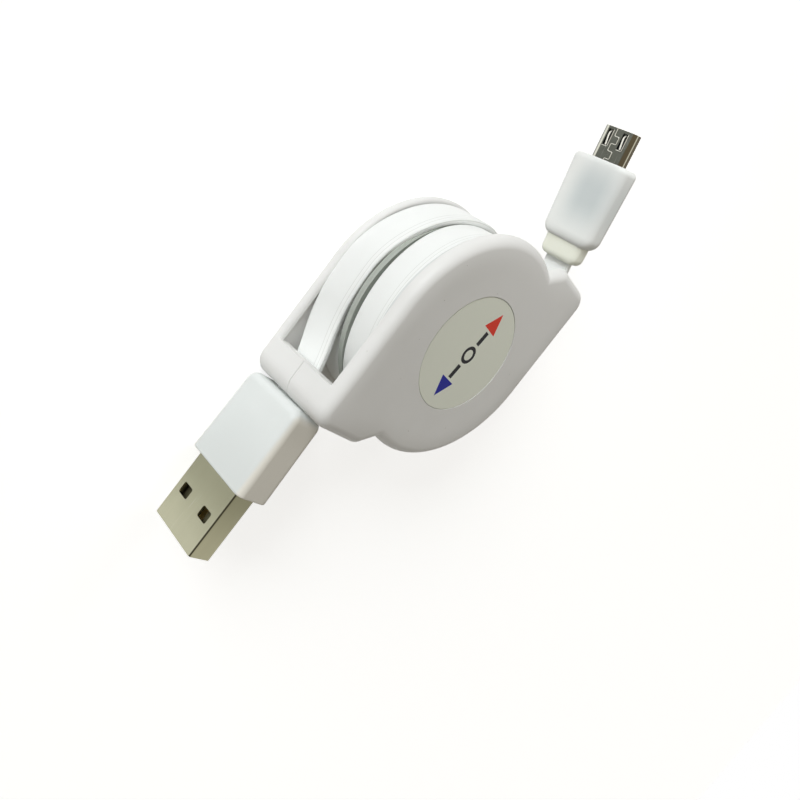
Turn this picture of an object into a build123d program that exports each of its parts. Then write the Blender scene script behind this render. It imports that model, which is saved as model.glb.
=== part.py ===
"""Retractable charging cable: a small round reel with a flat ribbon lead on each side.

The reel lies on its rear cover, with the spool's axis along +Z through the origin and the rear
face at z = 0. +X is along the straight edges of the housing, towards the small plug. Millimetres.
"""

import os
from math import acos, atan2, cos, degrees, hypot, pi, radians, sin, sqrt

from build123d import *

# Overall height and the ribbon cable
reel_height = 19.05
ribbon_thick = 1.2
winding_turns = 2.75

# Housing plan
reel_radius = 20.5
lug_overhang = 2.0
lug_low_y = 9.25
lug_notch_y = 5.6
lug_corner = 3.0
lug_toe = 2.2
lug_inset = 0.03
post_width = 6.1
post_thick = 3.0
seam_gap = 0.1
peg_radius = 0.8
peg_height = 1.2
peg_clear = 0.06

# Housing section
cover_wall = 1.5
rear_rim_depth = 2.0
front_rim_depth = 2.5
rim_wall = 1.1
rear_face_round = 1.2
front_face_round = 1.7
rim_round = 0.7

# Label and its recess
label_radius = 10.6
label_thick = 0.3
label_groove = 0.15
label_sink = 0.05

# Spool stack along the axis
rear_gap = 0.5
side_gap = 0.35
divider_thick = 1.1
flange_thick = 0.8
ratchet_room = 1.3
thrust_gap = 0.1

# Spool radii
ribbon_rim_gap = 0.15
running_gap = 0.1
divider_drop = 0.5
hub_wall = 1.2
web_thick = 1.4
bearing_fit = 0.06
winding_fit = 0.02

# Centre post, boss and screw
post_radius = 2.5
thrust_radius = 3.5
boss_wall = 1.2
boss_depth = 2.6
boss_floor = 1.0
screw_radius = 1.1
screw_length = 8.0
screw_head_radius = 2.1
screw_head_thick = 1.3
screw_fit = 0.03
screw_clear = 0.2
driver_width = 0.5
driver_length = 2.4
driver_depth = 0.6

# Mainspring and its cover
spring_thick = 0.22
spring_pitch = 0.95
spring_edge_gap = 0.4
spring_slot = 0.5
spring_cover_thick = 0.8
spring_cover_step = 0.4
spring_cover_fit = 0.05

# Ratchet
ball_radius = 1.2
ball_gap = 0.25
guide_wall = 0.9
guide_gap = 0.2
tooth_count = 3
tooth_depth = 2.2

# Leads, from the spool to the plugs
host_guide_clear = 0.5
device_guide_clear = 0.8
host_plug_tilt = 1.7
host_plug_pitch = 1.3
host_plug_drop = 2.0
host_plug_standoff = 0.3
host_bend_radius = 30.0
device_plug_turn = 22.45
device_plug_drop = 0.35
device_corner_out = 0.9
device_run = 1.95
device_bend_radius = 12.0

# Host plug, the large one
host_body_length = 16.0
host_body_back = 14.2
host_body_front = 15.2
host_body_thick = 7.0
host_body_round = 1.4
host_body_toe = 1.9
host_body_nose = 0.3
host_shell_width = 12.0
host_shell_height = 4.5
host_shell_out = 12.4
host_shell_in = 6.0
host_shell_wall = 0.3
host_shell_round = 0.45
host_window_across = 2.5
host_window_along = 2.0
host_window_pitch = 6.4
host_window_from_tip = 6.1
host_window_round = 0.35
host_tongue_thick = 1.9
host_tongue_gap = 0.08
host_tongue_short = 0.4
host_contact_width = 1.0
host_contact_thick = 0.12
host_contact_places = (-3.5, -1.0, 1.0, 3.5)
host_contact_short = 1.6
host_contact_length = 8.0

# Device plug, the small one
device_body_length = 15.3
device_body_back = 10.7
device_body_front = 11.7
device_body_thick = 6.4
device_body_round = 2.2
device_body_toe = 2.3
device_body_nose = 1.0
device_collar_length = 3.3
device_collar_root = 2.0
device_collar_back = 8.0
device_collar_front = 8.4
device_collar_thick = 4.2
device_collar_round = 1.2
device_collar_toe = 1.4
device_shell_width = 6.85
device_shell_height = 1.8
device_shell_bevel_across = 0.7
device_shell_bevel_down = 0.75
device_shell_wall = 0.25
device_shell_out = 5.6
device_shell_in = 4.0
device_tongue_width = 3.7
device_tongue_thick = 0.6
device_tongue_short = 0.6
device_contact_pitch = 0.65
device_contact_count = 5
device_contact_width = 0.35
device_contact_thick = 0.08
device_contact_length = 3.2
latch_slot_length = 2.9
latch_slot_width = 1.1
latch_slot_pitch = 3.1
latch_slot_from_tip = 0.45
latch_width = 0.3
latch_rise = 0.2
latch_hook_length = 0.9
seam_pitch = 1.29
seam_swing = 0.52
seam_round = 0.22
seam_slit = 0.08

mould_fit = 0.02
EPS = 0.01

# The ribbon is as wide as the stack of the spool leaves it
stack_room = reel_height - 2 * cover_wall - rear_gap - ratchet_room
ribbon_width = (stack_room - divider_thick - flange_thick - 3 * side_gap) / 2

# Places along the axis, from the rear face up
rear_ribbon_z0 = cover_wall + rear_gap
rear_ribbon_z = rear_ribbon_z0 + ribbon_width / 2
divider_z0 = rear_ribbon_z0 + ribbon_width + side_gap
divider_z1 = divider_z0 + divider_thick
front_ribbon_z0 = divider_z1 + side_gap
front_ribbon_z = front_ribbon_z0 + ribbon_width / 2
flange_z0 = front_ribbon_z0 + ribbon_width + side_gap
flange_z1 = flange_z0 + flange_thick
front_plate_z = flange_z1 + ratchet_room
mid_z = reel_height / 2
spool_z0 = cover_wall + rear_gap - thrust_gap
spring_cover_z1 = spool_z0 + spring_cover_thick
web_z1 = front_plate_z - 2 * ball_radius - 2 * ball_gap
web_z0 = web_z1 - web_thick
boss_z0 = front_plate_z - boss_depth
post_top_z = front_plate_z - boss_floor
label_floor_z = reel_height - label_thick - label_sink
screw_seat_z = label_floor_z - screw_head_thick - label_sink
spring_z0 = spring_cover_z1 + spring_edge_gap
spring_z1 = web_z0 - spring_edge_gap
host_plug_z = mid_z - host_plug_drop
device_plug_z = front_ribbon_z - device_plug_drop

# Radii, from the rim of the covers inwards
rim_inner = reel_radius - rim_wall
turn_outer = rim_inner - ribbon_rim_gap
turn_centre = turn_outer - ribbon_thick / 2
turn_inner = turn_outer - ribbon_thick
winding_outer = turn_inner - running_gap
hub_radius = winding_outer - winding_turns * ribbon_thick
divider_radius = turn_outer - divider_drop
chamber_radius = hub_radius - hub_wall
boss_radius = post_radius + bearing_fit + boss_wall
ball_orbit = chamber_radius - ball_gap - ball_radius
cam_high = ball_orbit - ball_radius - 2 * ball_gap
cam_low = cam_high - tooth_depth

# Plan of the lugs, drawn for the one at -X +Y. The other is the same turned half a turn.
lug_reach = reel_radius + lug_overhang
lug_top_y = reel_radius - lug_inset
post_x = lug_reach - post_width / 2
post_inner_y = lug_top_y - post_thick

# Where each ribbon passes the inside of its post
guide_x = post_x
host_guide_y = post_inner_y - host_guide_clear - ribbon_thick / 2
device_guide_y = post_inner_y - device_guide_clear - ribbon_thick / 2


def polar(radius, angle):
    """A point of the plan, from a radius and an angle in degrees."""
    return Vector(radius * cos(radians(angle)), radius * sin(radians(angle)))


def along(heading, pitch):
    """Unit direction from a heading in the plan and a pitch above it, in degrees."""
    flat = polar(cos(radians(pitch)), heading)
    return Vector(flat.X, flat.Y, sin(radians(pitch)))


def turned_pair(solid):
    """A solid together with its copy turned half a turn about the reel's axis."""
    return solid + Rot(0, 0, 180) * solid


def lug_plan(inset=0.0):
    """Plan of one lug, with its root at the axis, drawn in by an inset."""
    reach = lug_reach - inset
    top = lug_top_y - inset
    low = lug_low_y + inset
    notch_r = reel_radius - inset
    notch_y = lug_notch_y + inset
    notch = (-sqrt(notch_r**2 - notch_y**2), notch_y)
    corners = [(0, 0), (0, top), (-reach, top), (-reach, low), notch]
    plan = make_face(Polyline(*corners, close=True))
    outer = [v for v in plan.vertices() if abs(v.X + reach) < EPS]
    outer = sorted(outer, key=lambda v: v.Y)
    plan = fillet(outer[1], max(lug_corner - inset, 2 * EPS))
    low_vertex = [v for v in plan.vertices() if abs(v.X + reach) < EPS]
    low_vertex = min(low_vertex, key=lambda v: v.Y)
    return fillet(low_vertex, max(lug_toe - inset, 2 * EPS))


def post_plan():
    """Plan of the post at the lug's outer corner, flush with the lug's edges."""
    block = Pos(-post_x, lug_top_y - post_thick / 2) * Rectangle(post_width, post_thick)
    return lug_plan() & block


def cover_blank(depth, face_round):
    """A cover with its outer face at z = 0: a disc and two lugs in one outline, rim and half posts."""
    blank = extrude(Circle(reel_radius) + turned_pair(lug_plan()), depth)
    blank = fillet(blank.edges().group_by(Axis.Z)[0], face_round)
    blank = fillet(blank.edges().group_by(Axis.Z)[-1], rim_round)
    pocket = Circle(rim_inner) + turned_pair(lug_plan(rim_wall) - post_plan())
    pocket = Pos(0, 0, cover_wall) * extrude(pocket, depth)
    post = Pos(0, 0, face_round) * extrude(post_plan(), mid_z - seam_gap / 2 - face_round)
    return blank - pocket + turned_pair(post)


def peg_place():
    """Where the locating peg stands on a post."""
    return Pos(-post_x + post_width / 6, lug_top_y - post_thick / 2, mid_z)


def rear_cover():
    """Rear cover with the centre post that the spool turns on and the mainspring hooks into."""
    shoulder_z1 = spool_z0 - thrust_gap
    shoulder = Pos(0, 0, cover_wall) * extrude(Circle(thrust_radius), shoulder_z1 - cover_wall)
    post = Pos(0, 0, cover_wall) * extrude(Circle(post_radius), post_top_z - cover_wall)
    pilot_z0 = screw_seat_z - screw_length - screw_clear
    pilot = Pos(0, 0, pilot_z0) * extrude(Circle(screw_radius + screw_fit), reel_height)
    slot_floor = screw_radius + screw_clear
    slot_size = post_radius - slot_floor + EPS
    slot = Pos(slot_floor + slot_size / 2, 0) * Rectangle(slot_size, spring_slot)
    slot = Pos(0, 0, spring_z0 - side_gap) * extrude(slot, spring_z1 - spring_z0 + 2 * side_gap)
    peg = extrude(Circle(peg_radius), peg_height + seam_gap)
    peg = peg_place() * Pos(0, 0, -seam_gap) * peg
    blank = cover_blank(rear_rim_depth, rear_face_round)
    return blank + shoulder + post + turned_pair(peg) - pilot - slot


def ball_guide():
    """Two radial ribs inside the front cover that hold the ball in line."""
    rib_length = chamber_radius - cam_low
    rib_height = ratchet_room - guide_gap
    rib = Rectangle(rib_length, guide_wall)
    side = ball_radius + ball_gap + guide_wall / 2
    ribs = Pos(cam_low + rib_length / 2, side) * rib + Pos(cam_low + rib_length / 2, -side) * rib
    return Pos(0, 0, front_plate_z - rib_height) * extrude(ribs, rib_height)


def front_cover():
    """Front cover with the label's recess, the screw's boss and the ball's guide."""
    blank = mirror(cover_blank(front_rim_depth, front_face_round), about=Plane.XY)
    blank = Pos(0, 0, reel_height) * blank
    boss = Pos(0, 0, boss_z0) * extrude(Circle(boss_radius), boss_depth)
    socket = extrude(Circle(post_radius + bearing_fit), post_top_z - boss_z0)
    socket = Pos(0, 0, boss_z0) * socket
    recess = Pos(0, 0, label_floor_z) * extrude(Circle(label_radius + label_groove), cover_wall)
    well = extrude(Circle(screw_head_radius + screw_clear), reel_height - screw_seat_z)
    well = Pos(0, 0, screw_seat_z) * well
    hole = Pos(0, 0, boss_z0) * extrude(Circle(screw_radius + screw_clear), reel_height)
    peg_hole = extrude(Circle(peg_radius + peg_clear), peg_height + 4 * peg_clear)
    peg_hole = peg_place() * peg_hole
    cover = blank + boss + ball_guide()
    return cover - socket - recess - well - hole - turned_pair(peg_hole)


def label_disc():
    """The thin round label that covers the screw."""
    return Pos(0, 0, label_floor_z) * extrude(Circle(label_radius), label_thick)


def case_screw():
    """Self-tapping screw through the front boss into the centre post."""
    head = Pos(0, 0, screw_seat_z) * extrude(Circle(screw_head_radius), screw_head_thick)
    top = head.edges().group_by(Axis.Z)[-1]
    head = fillet(top, screw_head_thick / 4)
    shank = extrude(Circle(screw_radius), screw_length)
    shank = chamfer(shank.edges().group_by(Axis.Z)[0], screw_radius / 2)
    cross = Rectangle(driver_length, driver_width) + Rectangle(driver_width, driver_length)
    cross_z0 = screw_seat_z + screw_head_thick - driver_depth
    cross = Pos(0, 0, cross_z0) * extrude(cross, driver_depth)
    return head + Pos(0, 0, screw_seat_z - screw_length) * shank - cross


def ratchet_cam():
    """Ratchet wheel on the spool's front: each tooth rises along an arc and ends in a step."""
    step = 360 / tooth_count
    lines = []
    for tooth in range(tooth_count):
        start = polar(cam_low, tooth * step)
        middle = polar((cam_low + cam_high) / 2, (tooth + 0.5) * step)
        end = polar(cam_high, (tooth + 1) * step)
        lines.append(ThreePointArc(start, middle, end))
        lines.append(Line(end, polar(cam_low, (tooth + 1) * step)))
    plan = make_face(lines) - Circle(boss_radius + side_gap)
    return Pos(0, 0, web_z1) * extrude(plan, flange_z1 - guide_gap - web_z1)


def spool():
    """Spool with the spring's chamber, the divider between the two ribbons and a front flange."""
    cover_seat = chamber_radius + spring_cover_step
    section = [
        (cover_seat, spool_z0),
        (hub_radius, spool_z0),
        (hub_radius, divider_z0),
        (divider_radius, divider_z0),
        (divider_radius, divider_z1),
        (hub_radius, divider_z1),
        (hub_radius, flange_z0),
        (turn_outer, flange_z0),
        (turn_outer, flange_z1),
        (chamber_radius, flange_z1),
        (chamber_radius, web_z1),
        (post_radius + bearing_fit, web_z1),
        (post_radius + bearing_fit, web_z0),
        (chamber_radius, web_z0),
        (chamber_radius, spring_cover_z1),
        (cover_seat, spring_cover_z1),
    ]
    profile = Plane.XZ * make_face(Polyline(*section, close=True))
    body = revolve(profile, Axis.Z)
    slot_size = hub_wall / 2
    slot = Pos(chamber_radius + slot_size / 2 - EPS, 0) * Rectangle(slot_size, spring_slot)
    slot = Pos(0, 0, spring_z0 - side_gap) * extrude(slot, spring_z1 - spring_z0 + side_gap)
    return body + ratchet_cam() - slot


def spring_cover():
    """Disc that shuts the spring's chamber at the rear of the spool."""
    disc = Circle(chamber_radius + spring_cover_step - spring_cover_fit)
    disc = disc - Circle(post_radius + side_gap)
    return Pos(0, 0, spool_z0) * extrude(disc, spring_cover_thick)


def mainspring():
    """Flat spiral spring of half circles, hooked into the centre post and the spool's wall."""
    grow = spring_pitch / 2
    inner = post_radius + spring_pitch
    outer = chamber_radius - spring_pitch / 2
    halves = 2 * int((outer - inner) / spring_pitch)
    edges = []
    for half in range(halves):
        centre = (grow / 2 if half % 2 else -grow / 2, 0)
        radius = inner + half * grow
        for side in (-spring_thick / 2, spring_thick / 2):
            edges.append(CenterArc(centre, radius + side, 180 * (half % 2), 180))
    start_x = inner - grow / 2
    end_x = inner + (halves - 1) * grow + grow / 2
    for x in (start_x, end_x):
        edges.append(Line((x - spring_thick / 2, 0), (x + spring_thick / 2, 0)))
    strip = make_face(edges)
    tail_x0 = screw_radius + 2 * screw_clear
    tail = Pos((tail_x0 + start_x) / 2, 0) * Rectangle(start_x - tail_x0, spring_thick)
    hook_x1 = chamber_radius + hub_wall / 3
    hook = Pos((end_x + hook_x1) / 2, 0) * Rectangle(hook_x1 - end_x, spring_thick)
    return Pos(0, 0, spring_z0) * extrude(strip + tail + hook, spring_z1 - spring_z0)


def ratchet_ball():
    """Steel ball that drops into the ratchet and holds the spool at any length."""
    return Pos(ball_orbit, 0, web_z1 + ball_gap + ball_radius) * Sphere(ball_radius)


def cable_winding(z0):
    """The turns of one ribbon on its half of the spool, as one roll."""
    ring = Circle(winding_outer) - Circle(hub_radius + winding_fit)
    return Pos(0, 0, z0) * extrude(ring, ribbon_width)


def tangent_heading(guide_y):
    """Angle at which a ribbon leaves its outermost turn to pass the post, in degrees."""
    reach = hypot(guide_x, guide_y)
    lift = degrees(acos(turn_centre / reach))
    return degrees(atan2(guide_y, -guide_x)) - lift


def ribbon_section(place, heading, z, pitch=0.0):
    """Cross-section of a ribbon at a point of the plan, upright or square to a pitched run."""
    plane = Plane((place.X, place.Y, z), x_dir=along(heading, pitch + 90), z_dir=along(heading, pitch))
    return plane * Rectangle(ribbon_width, ribbon_thick)


def outer_turn(leave, z):
    """The outermost turn of a ribbon, nearly all the way round to the angle where it leaves."""
    share = 1 - ribbon_thick / turn_centre
    path = CenterArc((0, 0), turn_centre, leave - 360 * share, 360 * share)
    start = polar(turn_centre, leave - 360 * share)
    return sweep(ribbon_section(start, leave - 360 * share + 90, z), path=path)


def bend(corner, heading_in, heading_out, radius):
    """Places and headings at the start, middle and end of an arc round a corner of the route."""
    turn = heading_out - heading_in
    tangent = radius * abs(sin(radians(turn / 2)) / cos(radians(turn / 2)))
    start = corner - polar(tangent, heading_in)
    side = 90 if turn > 0 else -90
    centre = start + polar(radius, heading_in + side)
    middle = centre + polar(radius, heading_in + turn / 2 - side)
    end = corner + polar(tangent, heading_out)
    return [(start, heading_in), (middle, heading_in + turn / 2), (end, heading_out)]


def clear_run():
    """How far a ribbon runs straight from its turn until it is past the divider's edge."""
    return sqrt((divider_radius + running_gap) ** 2 - turn_inner**2)


def host_route():
    """Where the host ribbon leaves its turn, starts to drift and bends at the post, and the plug."""
    leave = tangent_heading(host_guide_y)
    heading = leave + 90
    first = polar(turn_centre, leave)
    drift = first + polar(clear_run(), heading)
    corner = Vector(-guide_x, host_guide_y)
    out_heading = 180 - host_plug_tilt
    run = (lug_reach + host_plug_standoff - guide_x) / cos(radians(host_plug_tilt))
    plug = corner + polar(run, out_heading)
    return leave, heading, first, drift, corner, out_heading, plug


def device_route():
    """Where the device ribbon leaves its turn, starts to drift, bends outside the lug, the plug."""
    leave = tangent_heading(device_guide_y) + 180
    heading = leave + 90
    first = polar(turn_centre, leave)
    drift = first + polar(clear_run(), heading)
    guide = Vector(guide_x, -device_guide_y)
    out = (lug_reach + device_corner_out - guide_x) / cos(radians(heading))
    corner = guide + polar(out, heading)
    out_heading = 360 + device_plug_turn
    plug = corner + polar(device_run, out_heading)
    return leave, heading, first, drift, corner, out_heading, plug


def lead(route, track_z, plug_z, bend_radius, plug_pitch=0.0):
    """Outer turn of one ribbon and its run past the post, drifting to the height of its plug."""
    leave, heading, first, drift, corner, out_heading, plug = route
    stations = [(first, heading, track_z), (drift, heading, track_z)]
    rise = (plug_z - track_z) / (plug - drift).length
    for place, angle in bend(corner, heading, out_heading, bend_radius):
        stations.append((place, angle, track_z + rise * (place - drift).length))
    stations.append((plug, out_heading, plug_z, plug_pitch))
    run = loft([ribbon_section(*station) for station in stations], ruled=True)
    return outer_turn(leave, track_z) + run


def cable_lead_host():
    """The rear ribbon from its outer turn to the host plug."""
    return lead(host_route(), rear_ribbon_z, host_plug_z, host_bend_radius, host_plug_pitch)


def cable_lead_device():
    """The front ribbon from its outer turn to the device plug's collar."""
    return lead(device_route(), front_ribbon_z, device_plug_z, device_bend_radius)


def plug_frame(route, z, up, pitch=0.0):
    """Local frame of a plug: origin at its back, X out to the tip, Z up or down the reel's axis."""
    heading, plug = route[-2], route[-1]
    x_dir = along(heading, pitch)
    plane = Plane((plug.X, plug.Y, z), x_dir=x_dir, z_dir=up * along(heading, pitch + 90))
    return plane.location


def host_plug_place():
    """Frame of the host plug, with its Y to the side that the device plug's Y looks to as well."""
    return plug_frame(host_route(), host_plug_z, -1, host_plug_pitch)


def device_plug_place():
    """Frame of the device plug, with its origin at the back of the collar."""
    return plug_frame(device_route(), device_plug_z, 1)


def tapered_body(x0, length, back, front, thick, edge_round, toe, nose=0):
    """Moulded plug body: tapered plan, round along its edges and back, nearly square in front."""
    x1 = x0 + length
    corners = [(x0, -back / 2), (x1, -front / 2), (x1, front / 2), (x0, back / 2)]
    plan = make_face(Polyline(*corners, close=True))
    plan = fillet(plan.vertices().group_by(Axis.X)[0], toe)
    body = Plane.XZ * extrude(plan, thick / 2, both=True)
    faces = body.faces().sort_by(Axis.Y)
    edges = faces[0].edges() + faces[-1].edges()
    body = fillet([e for e in edges if e.center().X < x1 - EPS], edge_round)
    if nose > 0:
        body = fillet(body.faces().sort_by(Axis.X)[-1].edges(), nose)
    return body


def upright(sketch):
    """A sketch drawn in Y and Z of a plug's frame, set across its length."""
    return Plane.YZ * sketch


def host_shell_section(inset):
    """Rounded rectangle of the host plug's metal shell, drawn in by an inset."""
    height = host_shell_height - 2 * inset
    width = host_shell_width - 2 * inset
    return RectangleRounded(height, width, max(host_shell_round - inset, 2 * EPS))


def host_plug_overmould():
    """Moulded body of the host plug, with the pocket that grips the shell."""
    body = tapered_body(
        0, host_body_length, host_body_back, host_body_front, host_body_thick,
        host_body_round, host_body_toe, host_body_nose,
    )
    pocket = upright(host_shell_section(-mould_fit))
    pocket = Pos(host_body_length - host_shell_in, 0, 0) * extrude(pocket, host_shell_in + EPS)
    return host_plug_place() * (body - pocket)


def host_window():
    """One of the square windows that the socket's springs snap into."""
    window = RectangleRounded(host_window_along, host_window_across, host_window_round)
    return extrude(Plane.XZ * window, host_shell_height, both=True)


def host_plug_shell():
    """Folded metal shell of the host plug, with two windows through each broad side."""
    tube = upright(host_shell_section(0) - host_shell_section(host_shell_wall))
    tube = extrude(tube, host_shell_in + host_shell_out)
    window_x = host_shell_in + host_shell_out - host_window_from_tip
    for side in (-1, 1):
        tube -= Pos(window_x, 0, side * host_window_pitch / 2) * host_window()
    return host_plug_place() * Pos(host_body_length - host_shell_in, 0, 0) * tube


def host_tongue_top():
    """Height of the tongue's contact face above the plug's axis."""
    floor = -host_shell_height / 2 + host_shell_wall + host_tongue_gap
    return floor + host_tongue_thick


def host_plug_tongue():
    """Moulded tongue inside the host plug's shell, with the block that fills the shell's root."""
    width = host_shell_width - 2 * host_shell_wall - 2 * host_tongue_gap
    height = host_shell_height - 2 * host_shell_wall - 2 * host_tongue_gap
    length = host_shell_in + host_shell_out - host_tongue_short
    corner = host_shell_round - host_shell_wall
    root = extrude(upright(RectangleRounded(height, width, corner)), host_shell_in)
    tongue = Rectangle(host_tongue_thick, width - 2 * corner)
    tongue = upright(Pos(host_tongue_top() - host_tongue_thick / 2, 0) * tongue)
    tongue = extrude(tongue, length)
    return host_plug_place() * Pos(host_body_length - host_shell_in, 0, 0) * (root + tongue)


def host_plug_contacts():
    """The four sprung contact strips that lie on the tongue."""
    tip = host_body_length + host_shell_out - host_contact_short
    strip = Box(host_contact_length, host_contact_thick, host_contact_width)
    height = host_tongue_top() + host_contact_thick / 2
    x = tip - host_contact_length / 2
    return [host_plug_place() * Pos(x, height, z) * strip for z in host_contact_places]


def device_shell_section(inset):
    """Outline of the small plug's shell: a flat back and a bevelled top, drawn in by an inset."""
    half = device_shell_width / 2 - inset
    low = -device_shell_height / 2 + inset
    high = device_shell_height / 2 - inset
    flat = half - device_shell_bevel_across
    shoulder = high - device_shell_bevel_down
    corners = [(low, -half), (shoulder, -half), (high, -flat), (high, flat), (shoulder, half), (low, half)]
    return make_face(Polyline(*corners, close=True))


def collar_blank(grow=0.0):
    """The collar in the plug's frame, with a root that runs into the body, drawn larger by grow."""
    length = device_collar_length + device_collar_root + grow
    back = device_collar_back + 2 * grow
    front = device_collar_front + 2 * grow
    thick = device_collar_thick + 2 * grow
    return tapered_body(0, length, back, front, thick, device_collar_round, device_collar_toe)


def device_plug_overmould():
    """Moulded body of the device plug, with the pockets for the shell and the collar."""
    body = tapered_body(
        device_collar_length, device_body_length, device_body_back, device_body_front,
        device_body_thick, device_body_round, device_body_toe, device_body_nose,
    )
    root_x = device_collar_length + device_body_length - device_shell_in
    pocket = extrude(upright(device_shell_section(-mould_fit)), device_shell_in + EPS)
    return device_plug_place() * (body - Pos(root_x, 0, 0) * pocket - collar_blank(mould_fit))


def device_plug_collar():
    """Translucent collar between the ribbon and the device plug's body."""
    return device_plug_place() * collar_blank()


def latch_slot_places():
    """Centres of the two latch slots in the device plug's frame, as X and Z."""
    tip = device_collar_length + device_body_length + device_shell_out
    x = tip - latch_slot_from_tip - latch_slot_length / 2
    return [(x, -latch_slot_pitch / 2), (x, latch_slot_pitch / 2)]


def seam_cut():
    """Slit of the jigsaw seam where the folded sheet meets, from the shell's tip backwards."""
    tip = device_collar_length + device_body_length + device_shell_out
    points = [(tip, -seam_swing)]
    side = -1
    for step in range(1, int(device_shell_out / seam_pitch) + 1):
        x = tip - step * seam_pitch
        points += [(x, side * seam_swing), (x, -side * seam_swing)]
        side = -side
    points.append((tip - device_shell_out - seam_pitch / 2, side * seam_swing))
    line = FilletPolyline(*points, radius=seam_round)
    slit = extrude(Plane.XZ * trace(line, seam_slit), 2 * device_shell_wall, both=True)
    return Pos(0, device_shell_height / 2, 0) * slit


def device_plug_shell():
    """Folded metal shell of the device plug, with the seam and the slots for its latches."""
    tube = upright(device_shell_section(0) - device_shell_section(device_shell_wall))
    tube = extrude(tube, device_shell_in + device_shell_out)
    tube = Pos(device_collar_length + device_body_length - device_shell_in, 0, 0) * tube
    for x, z in latch_slot_places():
        top = Pos(x, device_shell_height / 2, z)
        tube -= top * Box(latch_slot_length, 4 * device_shell_wall, latch_slot_width)
    return device_plug_place() * (tube - seam_cut())


def device_plug_tongue():
    """Moulded insert of the device plug: a thin tongue on a block that fills the shell's root."""
    block = extrude(upright(device_shell_section(device_shell_wall + mould_fit)), device_shell_in)
    length = device_shell_in + device_shell_out - device_tongue_short
    tongue = extrude(upright(Rectangle(device_tongue_thick, device_tongue_width)), length)
    root_x = device_collar_length + device_body_length - device_shell_in
    return device_plug_place() * Pos(root_x, 0, 0) * (block + tongue)


def device_plug_contacts():
    """The row of contact strips on the device plug's tongue."""
    tip = device_collar_length + device_body_length + device_shell_out - device_tongue_short
    strip = Box(device_contact_length, device_contact_thick, device_contact_width)
    height = -(device_tongue_thick + device_contact_thick) / 2
    x = tip - device_contact_length / 2
    middle = (device_contact_count - 1) / 2
    places = [(i - middle) * device_contact_pitch for i in range(device_contact_count)]
    return [device_plug_place() * Pos(x, height, z) * strip for z in places]


def device_plug_latches():
    """The two sprung latches, each a strip in its slot with a hook that stands proud."""
    latches = []
    top = device_shell_height / 2
    root = device_tongue_thick / 2
    for x, z in latch_slot_places():
        half = latch_slot_length / 2 - latch_rise
        outline = [
            (-half, root),
            (half, root),
            (half, top - latch_rise),
            (half - latch_hook_length / 2, top + latch_rise),
            (half - latch_hook_length, top + latch_rise),
            (-half, top - latch_rise),
        ]
        plate = extrude(make_face(Polyline(*outline, close=True)), latch_width / 2, both=True)
        latches.append(device_plug_place() * Pos(x, 0, z) * plate)
    return latches


def write(name, shape):
    """Writes one node. A list is a group of separate solids."""
    if isinstance(shape, list):
        shape = Compound(children=shape)
    export_step(shape, os.path.join("parts", name + ".step"))


os.makedirs("parts", exist_ok=True)
nodes = {
    "rear_cover": rear_cover(),
    "front_cover": front_cover(),
    "label_disc": label_disc(),
    "case_screw": case_screw(),
    "spool": spool(),
    "spring_cover": spring_cover(),
    "mainspring": mainspring(),
    "ratchet_ball": ratchet_ball(),
    "cable_winding_rear": cable_winding(rear_ribbon_z0),
    "cable_winding_front": cable_winding(front_ribbon_z0),
    "cable_lead_host": cable_lead_host(),
    "cable_lead_device": cable_lead_device(),
    "host_plug_overmould": host_plug_overmould(),
    "host_plug_shell": host_plug_shell(),
    "host_plug_tongue": host_plug_tongue(),
    "host_plug_contacts": host_plug_contacts(),
    "device_plug_overmould": device_plug_overmould(),
    "device_plug_collar": device_plug_collar(),
    "device_plug_shell": device_plug_shell(),
    "device_plug_tongue": device_plug_tongue(),
    "device_plug_contacts": device_plug_contacts(),
    "device_plug_latches": device_plug_latches(),
}
for node_name, node_shape in nodes.items():
    write(node_name, node_shape)

wound = pi * (turn_outer**2 - hub_radius**2) / ribbon_thick
print("ribbon width", round(ribbon_width, 2), "hub radius", round(hub_radius, 2))
print("ribbon wound on each side of the spool, mm", round(wound))
print("bend radii of the leads, mm", host_bend_radius, device_bend_radius)
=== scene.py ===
# %% [markdown]
# # A retractable charging cable
#
# The CAD model gives this object its pieces, sizes and joints. This lesson dresses it in Blender:
# the soft ribbons are made again as smooth bands, thin lips of sheet metal are laid along the seam
# of the small plug, every other piece keeps its CAD shape and gets a finish of its own, and then
# come the floor and the light. Lengths are in metres, in the frame of the CAD model: the reel lies
# on its rear cover, with the axis of its spool along Z through the origin.

# %% Load the frame
import math

import bpy
from mathutils import Matrix, Vector


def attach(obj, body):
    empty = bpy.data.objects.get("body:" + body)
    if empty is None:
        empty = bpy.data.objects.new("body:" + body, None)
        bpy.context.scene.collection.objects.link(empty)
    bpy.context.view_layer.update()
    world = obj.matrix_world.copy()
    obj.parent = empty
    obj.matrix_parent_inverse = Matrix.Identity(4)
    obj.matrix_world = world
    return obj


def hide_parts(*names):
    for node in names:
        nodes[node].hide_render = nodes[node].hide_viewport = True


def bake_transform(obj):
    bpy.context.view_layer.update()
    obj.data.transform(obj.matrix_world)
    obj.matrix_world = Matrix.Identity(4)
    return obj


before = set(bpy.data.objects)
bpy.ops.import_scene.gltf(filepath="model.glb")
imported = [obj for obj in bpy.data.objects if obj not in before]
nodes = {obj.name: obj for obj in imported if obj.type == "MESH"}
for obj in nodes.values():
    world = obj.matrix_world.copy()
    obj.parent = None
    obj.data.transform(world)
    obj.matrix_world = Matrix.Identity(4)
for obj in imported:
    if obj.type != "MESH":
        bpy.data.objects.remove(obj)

MM = 0.001
scene = bpy.context.scene
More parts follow.
